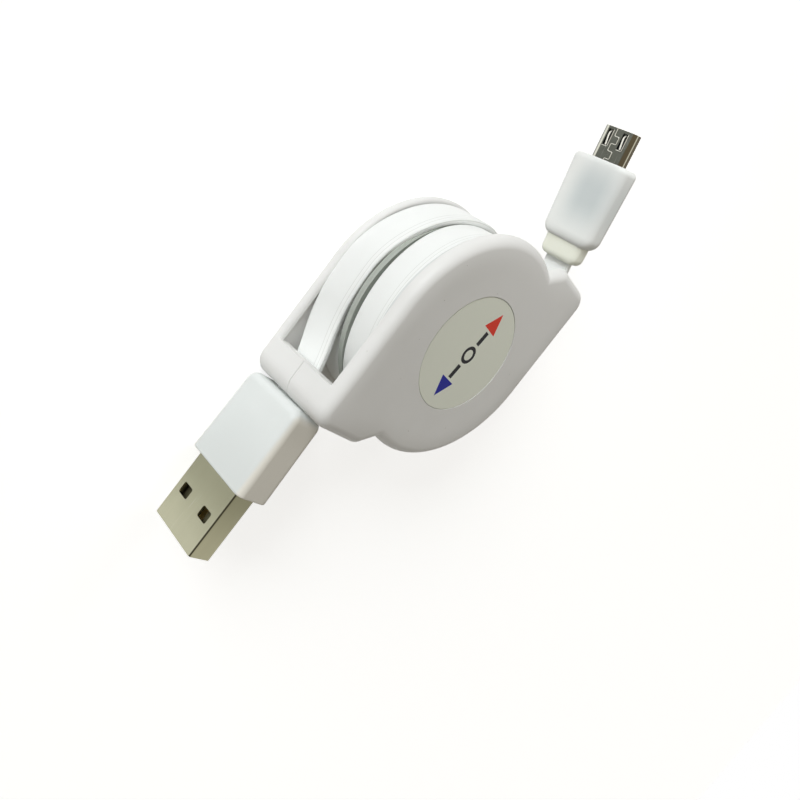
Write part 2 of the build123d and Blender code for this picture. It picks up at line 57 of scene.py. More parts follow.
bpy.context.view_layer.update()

# %% [markdown]
# ## The camera
#
# A camera is a place and three directions: right, up and back. They were worked out from the round
# label, the straight edges of the housing and the standard sizes of the plugs. The picture is rolled,
# so the axis of the reel points to the lower right. A matrix takes the three directions as they
# are, where Euler angles would have to be guessed.

# %% Place the camera
camera_place = Vector((-4.6, 96.4, 83.6)) * MM
camera_right = Vector((0.610, -0.501, 0.614)).normalized()
camera_up = Vector((0.789, 0.314, -0.528))
camera_up = (camera_up - camera_right * camera_up.dot(camera_right)).normalized()
camera_back = camera_right.cross(camera_up)

camera_data = bpy.data.cameras.new("camera")
camera_data.sensor_width = 36
camera_data.lens = 31.11
camera_data.clip_start = 5 * MM
camera = bpy.data.objects.new("camera", camera_data)
scene.collection.objects.link(camera)
turn = Matrix((camera_right, camera_up, camera_back)).transposed().to_4x4()
camera.matrix_world = Matrix.Translation(camera_place) @ turn
scene.camera = camera
scene.view_settings.view_transform = "Standard"
print("camera", round(camera_place.length / MM), "mm from the reel's foot")

# %% [markdown]
# ## Node trees in plain Python
#
# A finish is a small sum: a mask times a colour, one minus another mask, and so on. The class `Link`
# wraps an output socket, and its operators add Math nodes, so a sum can be written as one. `Tree`
# adds any other node: its type, its settings first, then the values or links of its sockets.

# %% Wrap sockets and trees
class Link:
    """An output socket of a node tree. Sums with it add Math nodes."""

    def __init__(self, tree, socket):
        self.tree = tree
        self.socket = socket

    def maths(self, operation, first, second, third=0.0):
        inputs = {0: first, 1: second, 2: third}
        return self.tree.add("ShaderNodeMath", {"operation": operation}, inputs)

    def __add__(self, other):
        return self.maths("ADD", self, other)

    def __sub__(self, other):
        return self.maths("SUBTRACT", self, other)

    def __rsub__(self, other):
        return self.maths("SUBTRACT", other, self)

    def __mul__(self, other):
        return self.maths("MULTIPLY", self, other)

    def __pow__(self, other):
        return self.maths("POWER", self, other)

    def __lt__(self, other):
        return self.maths("LESS_THAN", self, other)

    def __gt__(self, other):
        return self.maths("GREATER_THAN", self, other)

    def __abs__(self):
        return self.maths("ABSOLUTE", self, 0)

    def at_least(self, other):
        return self.maths("MAXIMUM", self, other)

    def lesser(self, other, soft):
        return self.maths("SMOOTH_MIN", self, other, soft)

    def greater(self, other, soft):
        return self.maths("SMOOTH_MAX", self, other, soft)

    __radd__ = __add__
    __rmul__ = __mul__


class Tree:
    """A node tree that grows by one method."""

    def __init__(self, tree):
        self.tree = tree

    def add(self, kind, settings=None, inputs=None, output=0):
        node = self.tree.nodes.new(kind)
        for name, value in (settings or {}).items():
            setattr(node, name, value)
        for key, value in (inputs or {}).items():
            if isinstance(value, Link):
                self.tree.links.new(value.socket, node.inputs[key])
            else:
                node.inputs[key].default_value = value
        return Link(self, node.outputs[output])


print("methods of Link:", sum(callable(method) for method in vars(Link).values()))

# %% [markdown]
# ## Finishes
#
# Each finish is a Principled shader. What is the same all over is set on the shader's own sockets.
# What changes over the surface comes from noise on Object coordinates, which every piece shares,
# because all of them keep their place in their mesh. A mark that belongs to one place of a plug
# needs that plug's own directions, so `along` measures the coordinates in millimetres from a point
# in any direction.

# %% A class for finishes
class Finish(Tree):
    """A material with one Principled shader and the patterns that feed it."""

    def __init__(self, name, **sockets):
        self.material = bpy.data.materials.new(name)
        self.material.use_nodes = True
        super().__init__(self.material.node_tree)
        self.shader = self.tree.nodes["Principled BSDF"]
        for socket, value in sockets.items():
            self.shader.inputs[socket.replace("_", " ")].default_value = value
        self.place = self.add("ShaderNodeTexCoord", output="Object")

    def feed(self, socket, link):
        self.tree.links.new(link.socket, self.shader.inputs[socket])

    def along(self, start, direction):
        """Millimetres from a point, measured in a direction."""
        away = self.add("ShaderNodeVectorMath", {"operation": "SUBTRACT"}, {0: self.place, 1: start})
        settings = {"operation": "DOT_PRODUCT"}
        return self.add("ShaderNodeVectorMath", settings, {0: away, 1: direction / MM}, "Value")

    def stretched(self, scale, rotation=(0, 0, 0)):
        """Object coordinates turned and scaled along each axis, in features a metre."""
        settings = {"Vector": self.place, "Scale": scale, "Rotation": rotation}
        return self.add("ShaderNodeMapping", inputs=settings)

    def noise(self, size, detail=2.0, place=None):
        """Soft noise from 0 to 1 with features of a size in metres."""
        inputs = {"Vector": place or self.place, "Scale": 1 / size, "Detail": detail}
        return self.add("ShaderNodeTexNoise", inputs=inputs)

    def specks(self, size, share):
        """1 in small scattered dots, 0 elsewhere."""
        inputs = {"Vector": self.place, "Scale": 1 / size, "Randomness": 1.0}
        return self.add("ShaderNodeTexVoronoi", inputs=inputs) < share

    def step(self, value, low, high):
        """0 below low and 1 above high, smooth between."""
        inputs = {"Value": value, "From Min": low, "From Max": high}
        return self.add("ShaderNodeMapRange", {"interpolation_type": "SMOOTHSTEP"}, inputs)

    def mix(self, factor, first, second):
        """Colours mixed by a factor."""
        return self.add("ShaderNodeMix", {"data_type": "RGBA"}, {0: factor, 6: first, 7: second}, 2)

    def relief(self, height):
        """Feeds the normal from a height in millimetres."""
        self.feed("Normal", self.add("ShaderNodeBump", inputs={"Height": height, "Distance": MM}))


def rgb(red, green, blue):
    return (red, green, blue, 1.0)


print("finish helpers:", [name for name in vars(Finish) if not name.startswith("_")])

# %% [markdown]
# ### Where the plugs lie
#
# Both plugs lie on their narrow side, with a broad face towards +Y. Each has its own directions: out
# to its tip, out of its broad face, and across. They follow from the heading of its ribbon and, for
# the large plug, a slight rise. The finishes and the metal lips below use them.

# %% Work out the plugs' directions
def plug_axes(heading, pitch=0.0):
    """Directions along a plug, out of its broad face and across it, from two angles in degrees."""
    heading, pitch = math.radians(heading), math.radians(pitch)
    level = math.cos(pitch)
    out = Vector((level * math.cos(heading), level * math.sin(heading), math.sin(pitch)))
    face = Vector((-math.sin(heading), math.cos(heading), 0))
    if face.y < 0:
        face = -face
    return out, face, out.cross(face)


host_back = Vector((-22.8, 16.469, 7.525)) * MM
host_out, host_face, host_across = plug_axes(178.3, 1.3)
device_back = Vector((25.202, -14.763, 11.925)) * MM
device_out, device_face, device_across = plug_axes(22.45)
print("host plug out", [round(v, 3) for v in host_out], "device plug out", [round(v, 3) for v in device_out])

# %% [markdown]
# ### Moulded white plastic
#
# The covers and the plug bodies are smooth white plastic. Such a moulding isn't one flat tone: the
# pigment drifts a little, the skin is a touch rougher in places, and a few dust specks sit in it.
# Large noise does the drift, fine noise the skin, and small Voronoi dots the specks. The gloss is
# low, so the rounded rims don't turn into bright lines.

# %% Make the white mouldings
dust, dust_share = rgb(0.30, 0.28, 0.25), 0.45
drift_size, skin_size, speck_size = 12 * MM, 0.25 * MM, 2.6 * MM
drift_low, drift_high = 0.35, 0.65
drift_wave, skin_wave = 0.010, 0.002


def moulded_white(name, light, shade, speck_share, **sockets):
    """A white moulding, its tone before it is fed, and the slight waves of its skin, in millimetres."""
    plastic = Finish(name, Specular_IOR_Level=0.3, **sockets)
    drift = plastic.noise(drift_size, 3)
    skin = plastic.noise(skin_size, 2)
    dots = plastic.specks(speck_size, speck_share)
    tone = plastic.mix(plastic.step(drift, drift_low, drift_high), light, shade)
    plastic.feed("Roughness", 0.36 + 0.10 * drift + 0.06 * skin)
    waves = drift_wave * drift + skin_wave * skin
    return plastic, plastic.mix(dots * dust_share, tone, dust), waves


print("moulding drifts over", round(drift_size / MM), "mm")

# %% [markdown]
# The body of the large plug is a little darker towards its front end, and its narrow sides are
# painted a warmer tone, a painted shade for the sides that face away from the light. Both are smooth
# steps in the plug's own directions, one along it and one across it.

# %% Make the large plug's body
grey_from, grey_to = 3.0, 15.0
side_shade_from, side_shade_to = 6.5, 7.2
darker_front, painted_side_shade = rgb(0.735, 0.765, 0.755), rgb(0.86, 0.83, 0.755)


def host_body_finish():
    light, shade = rgb(0.82, 0.85, 0.84), rgb(0.80, 0.83, 0.82)
    plastic, tone, waves = moulded_white("host_body_white", light, shade, 0.02)
    front = plastic.step(plastic.along(host_back, host_out), grey_from, grey_to)
    # Painted shade: the narrow sides are painted warmer, as they face away from the light.
    side = plastic.step(abs(plastic.along(host_back, host_across)), side_shade_from, side_shade_to)
    tone = plastic.mix(front, tone, darker_front)
    plastic.feed("Base Color", plastic.mix(side, tone, painted_side_shade))
    plastic.relief(waves)
    return plastic.material


host_body_white = host_body_finish()
print("large plug's body greys from", grey_from, "to", grey_to, "mm")

# %% [markdown]
# The faces of the covers are gently crowned: towards the outline they fall away a little before the
# rounding starts, so the tone changes slowly. The fall is only a few degrees, which Bump can give.
# It needs the distance from the outline: from the disc it is the radius less the way from the axis,
# and from a lug the least of the ways to its three sides. One lug is the other turned by half a turn,
# so the sign of Y tells which one is meant.

# %% Make the housing's finish
ORIGIN = Vector((0, 0, 0))
disc_radius = 20.5
lug_top, lug_end = 20.47, 22.5
lug_low, lug_low_slope = 9.25, Vector((-0.796, 0.606))
crown_width, crown_fall, crown_soft = 4.4, 0.44, 6.0


def inside_outline(plastic):
    """How far a point lies inside the outline of the covers, in millimetres."""
    x = plastic.along(ORIGIN, Vector((1, 0, 0)))
    y = plastic.along(ORIGIN, Vector((0, 1, 0)))
    from_disc = disc_radius - (x * x + y * y) ** 0.5
    out = x * (1 - 2 * (y > 0))
    side = abs(y)
    from_low = (out - lug_end) * lug_low_slope.x + (side - lug_low) * lug_low_slope.y
    from_lug = (lug_top - side).lesser(lug_end - out, crown_soft).lesser(from_low, crown_soft)
    in_lug = plastic.step(out, 0, crown_soft)
    return from_disc + in_lug * (from_disc.greater(from_lug, crown_soft) - from_disc)


def housing_finish():
    light, shade = rgb(0.865, 0.862, 0.85), rgb(0.845, 0.842, 0.828)
    plastic, tone, waves = moulded_white("housing_white", light, shade, 0.035)
    plastic.feed("Base Color", tone)
    near = (1 - inside_outline(plastic) * (1 / crown_width)).at_least(0)
    plastic.relief(waves - crown_fall * near * near)
    return plastic.material


housing_white = housing_finish()
print("housing:", housing_white.name, "crowned over", crown_width, "mm")

# %% [markdown]
# The body of the small plug is thinner. On its broad face lies a cool grey patch of painted shade:
# two smooth steps, one along the plug and one across it, multiply to a soft patch that fades out
# towards the edges. Some light goes into this body. Its narrow sides have a draft, the slant by which
# a moulding leaves its mould, so they face the light a little: a height that falls along the plug's
# thickness gives the sides that slant in Bump and leaves the broad faces alone.

# %% Make the small plug's body
patch_middle, patch_core, patch_end = 12.4, 1.0, 8.6
patch_off, patch_inner, patch_outer = 1.7, 1.2, 6.4
painted_shade_grey = rgb(0.66, 0.705, 0.71)
draft_slope = 0.45
EVEN = (1, 1, 1)


def device_body_finish():
    light, shade = rgb(0.945, 0.955, 0.935), rgb(0.93, 0.94, 0.92)
    depth = {"Subsurface_Weight": 0.15, "Subsurface_Scale": 3.5 * MM, "Subsurface_Radius": EVEN}
    plastic, tone, waves = moulded_white("device_body_white", light, shade, 0.02, **depth)
    out = abs(plastic.along(device_back, device_out) - patch_middle)
    across = abs(plastic.along(device_back, device_across) - patch_off)
    in_length = 1 - plastic.step(out, patch_core, patch_end)
    in_width = 1 - plastic.step(across, patch_inner, patch_outer)
    # Painted shade: a cool grey patch on the broad face.
    plastic.feed("Base Color", plastic.mix(in_length * in_width, tone, painted_shade_grey))
    plastic.relief(waves - draft_slope * plastic.along(device_back, device_face))
    return plastic.material


device_body_white = device_body_finish()
patch_reach = [round(patch_middle + way * patch_end, 1) for way in (-1, 1)]
print("patch on the small plug reaches, in mm:", patch_reach)

# %% [markdown]
# ### Ribbon jacket
#
# The flat cable has a soft jacket, whiter and a little greener than the mouldings. It is pressed
# out of a die, which leaves very fine lines along it and a small groove at both corners of one narrow
# side. Each groove is also painted grey, as painted shade in it. The band pieces below carry an
# attribute that runs from 0 to 1 around the jacket, so the lines follow the band wherever it goes.
# Light goes a short way into the soft plastic, which subsurface scattering gives.

# %% Make the ribbon jacket
AROUND = "around"
groove_places = (0.504, 0.583)
groove_half, groove_shade_share = 0.008, 0.6
groove_painted_shade = rgb(0.55, 0.57, 0.53)
die_lines = 90


def ribbon_jacket():
    jacket = Finish(
        "ribbon_jacket", Specular_IOR_Level=0.3, Subsurface_Weight=0.35, Subsurface_Scale=1.4 * MM,
        Subsurface_Radius=EVEN,
    )
    around = jacket.add("ShaderNodeAttribute", {"attribute_name": AROUND}, output="Fac")
    one_way = {"noise_dimensions": "1D"}
    lines = jacket.add("ShaderNodeTexNoise", one_way, {"W": around * die_lines, "Detail": 2.0})
    groove = 0
    for place in groove_places:
        groove = groove + (1 - jacket.step(abs(around - place), 0, groove_half))
    drift = jacket.noise(7 * MM, 3)
    dots = jacket.specks(3.4 * MM, 0.03)
    tone = jacket.mix(drift, rgb(0.955, 0.975, 0.96), rgb(0.93, 0.952, 0.935))
    # Painted shade: the grooves are painted grey as well as cut by Bump.
    tone = jacket.mix(groove * groove_shade_share, tone, groove_painted_shade)
    jacket.feed("Base Color", jacket.mix(dots * 0.5, tone, dust))
    jacket.feed("Roughness", 0.42 + 0.12 * drift)
    jacket.relief(0.0015 * lines + 0.005 * drift - 0.01 * groove)
    return jacket.material


ribbon_white = ribbon_jacket()
print("jacket:", ribbon_white.name, "with", len(groove_places), "grooves")

# %% [markdown]
# ### The label
#
# The round label is a pale sheet with a print on it. It gets a plain sign for pulling both ways: a
# ring for the reel, and from it two bars that end in a blue head and a red head. Each shape is a
# comparison of coordinates, so its edges stay sharp at any distance. The print runs along the
# label's own line, turned a little from X.

# %% Print the label
label_turn = math.radians(5.35)
ring_inner, ring_outer = 1.0, 1.65
bar_start, bar_end, bar_half_width = 2.2, 4.9, 0.5
head_base, head_tip, head_slope = 5.3, 8.9, 0.55
ink_black, ink_blue, ink_red = rgb(0.02, 0.02, 0.025), rgb(0.02, 0.025, 0.36), rgb(0.85, 0.06, 0.035)


def label_print():
    label = Finish("label_print", Specular_IOR_Level=0.15)
    line = Vector((math.cos(label_turn), -math.sin(label_turn), 0))
    along = label.along(ORIGIN, line)
    off = abs(label.along(ORIGIN, line.cross(Vector((0, 0, 1)))))
    away = (along * along + off * off) ** 0.5
    ring = (away > ring_inner) * (away < ring_outer)
    bars = (abs(along) > bar_start) * (abs(along) < bar_end) * (off < bar_half_width)
    right = (along > head_base) * (off < (head_tip - along) * head_slope)
    left = (along < -head_base) * (off < (head_tip + along) * head_slope)
    fibre = label.noise(0.6 * MM, 3)
    drift = label.noise(9 * MM, 2)
    paper = label.mix(drift, rgb(0.93, 0.955, 0.85), rgb(0.905, 0.93, 0.825))
    ink = label.mix(ring + bars, paper, ink_black)
    ink = label.mix(left, ink, ink_blue)
    label.feed("Base Color", label.mix(right, ink, ink_red))
    label.feed("Roughness", 0.42 + 0.12 * fibre)
    label.relief(0.006 * fibre)
    return label.material


label_paper = label_print()
print("label print turned by", round(math.degrees(label_turn), 2), "degrees")

# %% [markdown]
# ### Metal
#
# The plug shells are thin nickel-plated steel. Rolling leaves fine streaks along the sheet, and use
# leaves short bright scratches across it. Both are noise stretched a long way in one direction.
# The same recipe with other colours serves the spring, the screw, the ball and the contacts.

# %% Make the metals
scratch_bright = rgb(0.80, 0.79, 0.74)
streak_scale = (60, 1600, 1600)
scratch_scale, scratch_turn = (110, 110, 7000), (0, math.radians(38), 0)
scratch_low, scratch_high = 0.70, 0.78
blotch_share = 0.55


def plated(name, light, dark, roughness, scratch_amount):
    """A plated metal and its tone, before it is fed to the shader."""
    metal = Finish(name, Metallic=1.0)
    streaks = metal.noise(1.0, 2, metal.stretched(streak_scale))
    scratches = metal.noise(1.0, 1, metal.stretched(scratch_scale, scratch_turn))
    blotches = metal.noise(4 * MM, 4)
    marks = metal.step(scratches, scratch_low, scratch_high) * scratch_amount
    tone = metal.mix(blotch_share * blotches + (1 - blotch_share) * streaks, dark, light)
    metal.feed("Roughness", roughness + 0.16 * blotches + 0.10 * streaks + 0.15 * marks)
    metal.relief(0.004 * streaks)
    return metal, metal.mix(marks, tone, scratch_bright)


def plain_metal(*recipe):
    metal, tone = plated(*recipe)
    metal.feed("Base Color", tone)
    return metal.material


spring_steel = plain_metal("spring_steel", rgb(0.46, 0.47, 0.50), rgb(0.36, 0.37, 0.41), 0.25, 0.3)
zinc_steel = plain_metal("zinc_steel", rgb(0.70, 0.70, 0.66), rgb(0.60, 0.60, 0.57), 0.22, 0.3)
ball_steel = plain_metal("ball_steel", rgb(0.80, 0.80, 0.79), rgb(0.74, 0.74, 0.74), 0.05, 0.2)
contact_gold = plain_metal("contact_gold", rgb(0.86, 0.68, 0.32), rgb(0.80, 0.60, 0.26), 0.18, 0.2)
# Painted highlight: the lips are a light steel, far brighter than the small shell.
lip_steel = plain_metal("lip_steel", rgb(0.84, 0.83, 0.76), rgb(0.74, 0.73, 0.66), 0.25, 0.2)
plain_metals = (spring_steel, zinc_steel, ball_steel, contact_gold, lip_steel)
print("plain metals:", [metal.name for metal in plain_metals])

# %% [markdown]
# The two shells also have marks of their own. Along each long edge of the large one, where its sheet
# is folded, a dark line is painted, a painted dark reflection, and its metal is painted darker towards
# the moulding, painted shade. The small shell is darker nickel with a brown cast on its bevels, and a
# bright line of painted highlight runs beside one bevel and along the shoulder of the other.

# %% Make the two shells
host_root, root_shade_end, root_shade_share = 16.0, 28.0, 0.7
fold_face, fold_side, fold_soft, fold_reflection_share = 1.93, 5.71, 0.1, 0.92
root_painted_shade, fold_painted_reflection = rgb(0.22, 0.22, 0.15), rgb(0.035, 0.032, 0.022)
bevel_start, bevel_end, bevel_share = 2.7, 2.85, 0.7
bevel_brown, painted_highlight = rgb(0.13, 0.10, 0.06), rgb(0.62, 0.62, 0.54)
highlight_start, highlight_end, highlight_soft = -2.74, -2.36, 0.06
shoulder_side, shoulder_face = 3.33, -0.05


def host_shell_finish():
    metal, tone = plated("host_steel", rgb(0.53, 0.525, 0.395), rgb(0.42, 0.415, 0.30), 0.22, 0.45)
    face = abs(metal.along(host_back, host_face))
    side = abs(metal.along(host_back, host_across))
    fold = metal.step(face, fold_face, fold_face + fold_soft)
    fold = fold * metal.step(side, fold_side, fold_side + fold_soft)
    # Painted shade: the metal is painted darker towards the moulding.
    dull = 1 - metal.step(metal.along(host_back, host_out), host_root, root_shade_end)
    tone = metal.mix(dull * root_shade_share, tone, root_painted_shade)
    # Painted reflection: a dark line along each folded long edge.
    metal.feed("Base Color", metal.mix(fold * fold_reflection_share, tone, fold_painted_reflection))
    return metal.material


def device_shell_finish():
    metal, tone = plated("device_steel", rgb(0.14, 0.145, 0.125), rgb(0.09, 0.095, 0.08), 0.18, 0.2)
    side = metal.along(device_back, device_across)
    face = metal.along(device_back, device_face)
    bevel = metal.step(side, bevel_start, bevel_end)
    line = metal.step(side, highlight_start, highlight_start + highlight_soft)
    line = line - metal.step(side, highlight_end, highlight_end + highlight_soft)
    shoulder = metal.step(side, shoulder_side, shoulder_side + highlight_soft)
    shoulder = shoulder * metal.step(face, shoulder_face, shoulder_face + highlight_soft)
    tone = metal.mix(bevel * bevel_share, tone, bevel_brown)
    # Painted highlight: bright lines beside one bevel and along the other's shoulder.
    metal.feed("Base Color", metal.mix(line + shoulder, tone, painted_highlight))
    return metal.material


host_steel = host_shell_finish()
device_steel = device_shell_finish()
print("shells:", host_steel.name, device_steel.name)

# %% [markdown]
# ### Inner plastics
#
# The spool, the tongues and the small plug's insert are plainer mouldings: duller, and with a
# coarser skin. The spool is painted a dark grey-green, painted shade for the deep gap between the
# bands where its divider shows, while the flange at the front is pale. The large plug's tongue is
# painted dark, painted shade for the inside of its shell. The collar behind the small plug is
# unpigmented, so light goes a short way into it, and subsurface scattering gives it that waxy look.
# Its sides have the same draft.

# %% Make the inner plastics
pale_from, pale_to = 11.0, 12.0
dull_drift, dull_skin, wax_drift = 5 * MM, 0.18 * MM, 2.5 * MM


def dull_plastic(name, light, shade, pale_front=None):
    """A dull moulding. Where a pale front colour is given, its front end has that colour."""
    plastic = Finish(name, Specular_IOR_Level=0.3)
    drift = plastic.noise(dull_drift, 3)
    skin = plastic.noise(dull_skin, 2)
    tone = plastic.mix(drift, light, shade)
    if pale_front:
        height = plastic.along(ORIGIN, Vector((0, 0, 1)))
        tone = plastic.mix(plastic.step(height, pale_from, pale_to), tone, pale_front)
    plastic.feed("Base Color", tone)
    plastic.feed("Roughness", 0.48 + 0.14 * skin)
    plastic.relief(0.01 * skin)
    return plastic.material


def waxy_plastic():
    depth = {"Subsurface_Weight": 0.25, "Subsurface_Scale": 3 * MM, "Subsurface_Radius": EVEN}
    wax = Finish("collar_wax", Coat_Weight=0.1, **depth)
    drift = wax.noise(wax_drift, 3)
    wax.feed("Base Color", wax.mix(drift, rgb(0.94, 0.95, 0.84), rgb(0.90, 0.91, 0.78)))
    wax.feed("Roughness", 0.30 + 0.12 * drift)
    wax.relief(0.02 * drift - draft_slope * wax.along(device_back, device_face))
    return wax.material


# Painted shade: the spool's dark grey-green stands for the shade in the gap between the bands.
spool_grey = dull_plastic("spool_grey", rgb(0.46, 0.49, 0.45), rgb(0.40, 0.43, 0.39), rgb(0.74, 0.76, 0.75))
# Painted shade: the large plug's tongue is painted dark for the shade inside its shell.
tongue_dark = dull_plastic("tongue_dark", rgb(0.10, 0.092, 0.05), rgb(0.075, 0.07, 0.04))
insert_black = dull_plastic("insert_black", rgb(0.030, 0.030, 0.032), rgb(0.020, 0.020, 0.022))
collar_wax = waxy_plastic()
inner_plastics = (spool_grey, tongue_dark, insert_black, collar_wax)
print("inner plastics:", [plastic.name for plastic in inner_plastics])

# %% [markdown]
# ### Dressing the CAD pieces
#
# Every CAD piece comes with one material slot, which holds a plain material. A list for each finish says
# which pieces wear it instead, and the cell prints what is left over, so a forgotten piece would show.

# %% Give every CAD node its finish
finishes = {
    housing_white: ["rear_cover", "front_cover"],
    host_body_white: ["host_plug_overmould"],
    device_body_white: ["device_plug_overmould"],
    ribbon_white: ["cable_winding_rear", "cable_winding_front", "cable_lead_host", "cable_lead_device"],
    label_paper: ["label_disc"],
    host_steel: ["host_plug_shell"],
    device_steel: ["device_plug_shell"],
    lip_steel: ["device_plug_latches"],
    spring_steel: ["mainspring"],
    zinc_steel: ["case_screw"],
    ball_steel: ["ratchet_ball"],
    contact_gold: ["host_plug_contacts", "device_plug_contacts"],
    spool_grey: ["spool", "spring_cover"],
    tongue_dark: ["host_plug_tongue"],
    insert_black: ["device_plug_tongue"],
    collar_wax: ["device_plug_collar"],
}
for material, names in finishes.items():
    for name in names:
        nodes[name].material_slots[0].material = material
finished = sorted(name for names in finishes.values() for name in names)
print("finished nodes:", len(finished), "left over:", sorted(set(nodes) - set(finished)))

# %% [markdown]
# ## The ribbons
#
# Each ribbon comes off the outermost turn on the spool, passes inside a post of the housing and
# ends in its plug. A flat band with round edges follows that line, so Geometry Nodes sweep a
# profile along a curve. The tree takes its sizes as named inputs, so the same one also serves the
# turns that stay on the spool.

# %% Start a tree of Geometry Nodes
fillet_steps = 5
cap_corners = 5


def geometry_tree(name, numbers, takes_curve=True):
    """A new tree with number inputs and a material input, and links to each of its inputs."""
    group = bpy.data.node_groups.new(name, "GeometryNodeTree")
    if takes_curve:
        group.interface.new_socket("Curve", in_out="INPUT", socket_type="NodeSocketGeometry")
    for number in numbers:
        group.interface.new_socket(number, in_out="INPUT", socket_type="NodeSocketFloat")
    group.interface.new_socket("Material", in_out="INPUT", socket_type="NodeSocketMaterial")
    group.interface.new_socket("Piece", in_out="OUTPUT", socket_type="NodeSocketGeometry")
    tree = Tree(group)
    given = group.nodes.new("NodeGroupInput")
    return tree, {socket.name: Link(tree, socket) for socket in given.outputs if socket.name}


def end_tree(tree, piece, material):
    """Closes a tree: smooth shading but for the many-sided ends, real geometry, and its material."""
    corners = tree.add("GeometryNodeInputMeshFaceNeighbors", output="Vertex Count")
    shading = {"Geometry": piece, "Shade Smooth": corners < cap_corners}
    smooth = tree.add("GeometryNodeSetShadeSmooth", inputs=shading)
    real = tree.add("GeometryNodeRealizeInstances", inputs={"Geometry": smooth})
    painted = tree.add("GeometryNodeSetMaterial", inputs={"Geometry": real, "Material": material})
    result = tree.tree.nodes.new("NodeGroupOutput")
    tree.tree.links.new(painted.socket, result.inputs["Piece"])
    return tree.tree


print("a round corner has", fillet_steps, "steps")

# %% [markdown]
# The profile is a rectangle with rounded corners. Its own factor, from 0 to 1 around it, is stored as
# an attribute before the sweep, which is how the lines of the jacket find their place. Normals that
# point up keep the band on edge, and the lean of each point of the curve is added to that.

# %% The profile swept along a curve
def band_tree():
    """Sweeps a flat rounded profile along the curve that it is given."""
    tree, given = geometry_tree("flat_band", ("Width", "Thickness", "Edge Round"))
    sizes = {"Width": given["Thickness"], "Height": given["Width"]}
    flat = tree.add("GeometryNodeCurvePrimitiveQuadrilateral", inputs=sizes)
    corners = {"Curve": flat, "Radius": given["Edge Round"], "Count": fillet_steps}
    round_flat = tree.add("GeometryNodeFilletCurve", {"mode": "POLY"}, corners)
    around = tree.add("GeometryNodeSplineParameter", output="Factor")
    named = {"Geometry": round_flat, "Name": AROUND, "Value": around}
    profile = tree.add("GeometryNodeStoreNamedAttribute", {"data_type": "FLOAT"}, named)
    upright = tree.add("GeometryNodeSetCurveNormal", {"mode": "Z_UP"}, {"Curve": given["Curve"]})
    swept = {"Curve": upright, "Profile Curve": profile, "Fill Caps": True}
    return end_tree(tree, tree.add("GeometryNodeCurveToMesh", inputs=swept), given["Material"])


flat_band = band_tree()
print("band tree:", len(flat_band.nodes), "nodes")

# %% [markdown]
# A modifier runs a tree on an object. The result is copied into a plain mesh, and the object with its
# modifier is removed, so nothing is left that could change later. A curve is the object for a sweep.

# %% Turn a tree's result into a piece
route_resolution = 24


def made_by(group, holder, name, values):
    """Runs a tree on an object and keeps the result as a plain mesh at the origin."""
    modifier = holder.modifiers.new("maker", "NODES")
    modifier.node_group = group
    for item in group.interface.items_tree:
        if item.in_out == "INPUT" and item.name in values:
            modifier[item.identifier] = values[item.name]
    depsgraph = bpy.context.evaluated_depsgraph_get()
    mesh = bpy.data.meshes.new_from_object(holder.evaluated_get(depsgraph))
    mesh.name = name
    piece = bpy.data.objects.new(name, mesh)
    scene.collection.objects.link(piece)
    bpy.data.objects.remove(holder)
    print(name, len(mesh.polygons), "faces, box in mm", [round(v / MM, 2) for v in piece.dimensions])
    return piece


def line_object(name, runs, kind, leans=None):
    """A curve object with one spline for each run of points, in metres, and a lean at each point."""
    curve = bpy.data.curves.new(name, "CURVE")
    curve.dimensions = "3D"
    for points in runs:
        spline = curve.splines.new(kind)
        spline.points.add(len(points) - 1)
        for point, place, lean in zip(spline.points, points, leans or [0] * len(points)):
            point.co = (*place, 1.0)
            point.tilt = math.radians(lean)
        if kind == "NURBS":
            spline.order_u = 3
            spline.use_endpoint_u = True
            spline.resolution_u = route_resolution
    line = bpy.data.objects.new(name + "_line", curve)
    scene.collection.objects.link(line)
    return line


print("a route has", route_resolution, "steps from one control point to the next")

# %% [markdown]
# ### The two runs
#
# The line of each ribbon is a NURBS spline of order 3, which touches the middle of each side of its
# control polygon. On the turn, the control points stand round a slow spiral, a little outside it, and
# after that they are the points of the route. The rear ribbon isn't level: it rides up over the
# divider, dips before it leaves the turn, leans out there, and climbs again to its plug.

# %% Lay out the routes
start_radius = 17.25
turn_from, turn_count, leave_turn = -225, 5, 97
turn_radius, turn_drop, turn_step = 18.65, 1.35, 30
corner_ratio = 1 / math.cos(math.radians(turn_step / 2))
rear_level, front_level = 4.9, 12.6
into_plug = 1.5


def on_plan(radius, angle, height):
    """A point from a radius, an angle in degrees and a height, in millimetres."""
    angle = math.radians(angle)
    return Vector((radius * math.cos(angle), radius * math.sin(angle), height))


def turn_points(first_angle, count, leave_angle, height):
    """Control points round the outermost turn, which winds outwards to the angle where it leaves."""
    points = []
    for angle in range(first_angle, first_angle + count * turn_step, turn_step):
        radius = turn_radius - turn_drop * (leave_angle - angle) / 360
        points.append(on_plan(radius * corner_ratio, angle, height))
    return points


host_points = [on_plan(start_radius, turn_from - turn_step, rear_level)]
host_points += turn_points(turn_from, turn_count, leave_turn, rear_level)
for radius, angle in ((18.9, -75), (19.25, -45), (19.65, -15)):
    host_points.append(on_plan(radius, angle, rear_level))
host_points += [on_plan(20.05, 15, 7.1), on_plan(20.45, 45, 6.5), on_plan(19.95, 75, 5.0)]
host_points += [Vector(p) for p in ((-3.6, 19.1, 4.85), (-9.5, 17.4, 4.55), (-15.6, 16.15, 6.1))]
host_points.append(Vector((-19.2, 16.02, 6.9)))
host_gate = Vector((-21.4, 16.25, 7.3))
host_points += [host_gate, host_back / MM, host_back / MM + into_plug * host_out]
end_leans = [-7, -12, -18, -17, -8, -3, -1, 0, 0]
host_leans = [0] * (len(host_points) - len(end_leans)) + end_leans

